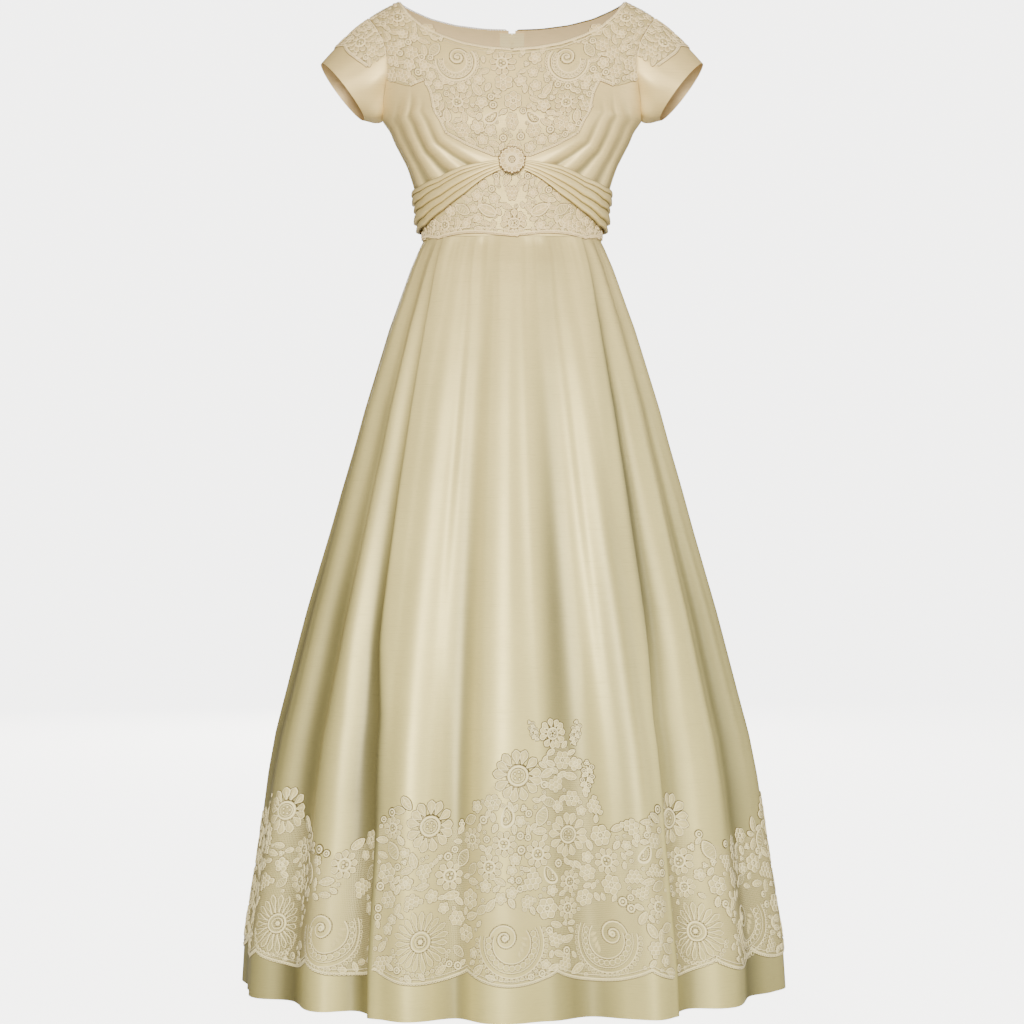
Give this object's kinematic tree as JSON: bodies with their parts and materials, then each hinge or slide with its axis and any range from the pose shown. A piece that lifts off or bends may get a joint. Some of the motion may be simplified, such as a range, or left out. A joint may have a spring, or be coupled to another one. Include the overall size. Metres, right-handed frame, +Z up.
{
  "type": "wedding dress",
  "caption": "Empire-line satin wedding dress with corded lace yoke and hem, cap sleeves, pleated sash, full skirt and back zip, hollow as worn.",
  "frame": {"origin": "midway between the neck points of the shoulders, level with the top of the shoulder seams, where the wearer holds the dress up", "axes": "+Z up towards the neck, -Y out of the front, +X to the viewer's right when looking at the front"},
  "size_m": [0.754, 0.6283, 1.3668],
  "materials": {
    "satin": "silk satin with a soft sheen",
    "lace": "matt corded cotton lace on net",
    "tape": "matt woven tape",
    "painted_zip": "satin paint"
  },
  "bodies": {
    "dress": {"front_yoke": "satin", "side_front_left": "satin", "side_front_right": "satin", "midriff_front": "satin", "back_left": "satin", "back_right": "satin", "sleeve_left": "satin", "sleeve_right": "satin", "sash_left": "satin", "sash_right": "satin", "sash_rosette": "lace", "skirt_front": "satin", "skirt_side_left": "satin", "skirt_side_right": "satin", "skirt_back_left": "satin", "skirt_back_right": "satin", "lace_yoke": "lace", "lace_back_left": "lace", "lace_back_right": "lace", "lace_sleeve_left": "lace", "lace_sleeve_right": "lace", "lace_midriff": "lace", "lace_hem_front": "lace", "lace_hem_left": "lace", "lace_hem_right": "lace", "zip_tape_left": "tape", "zip_tape_right": "tape", "zip_slider": "painted_zip"},
    "zip_pull": {"zip_pull": "painted_zip"}
  },
  "joints": [
    {"name": "pull_hinge", "type": "hinge", "parent": "dress", "child": "zip_pull", "pos_m": [0, 0.0648, -0.03674], "axis": [1, 0, 0], "range_deg": [0, 140]}
  ]
}
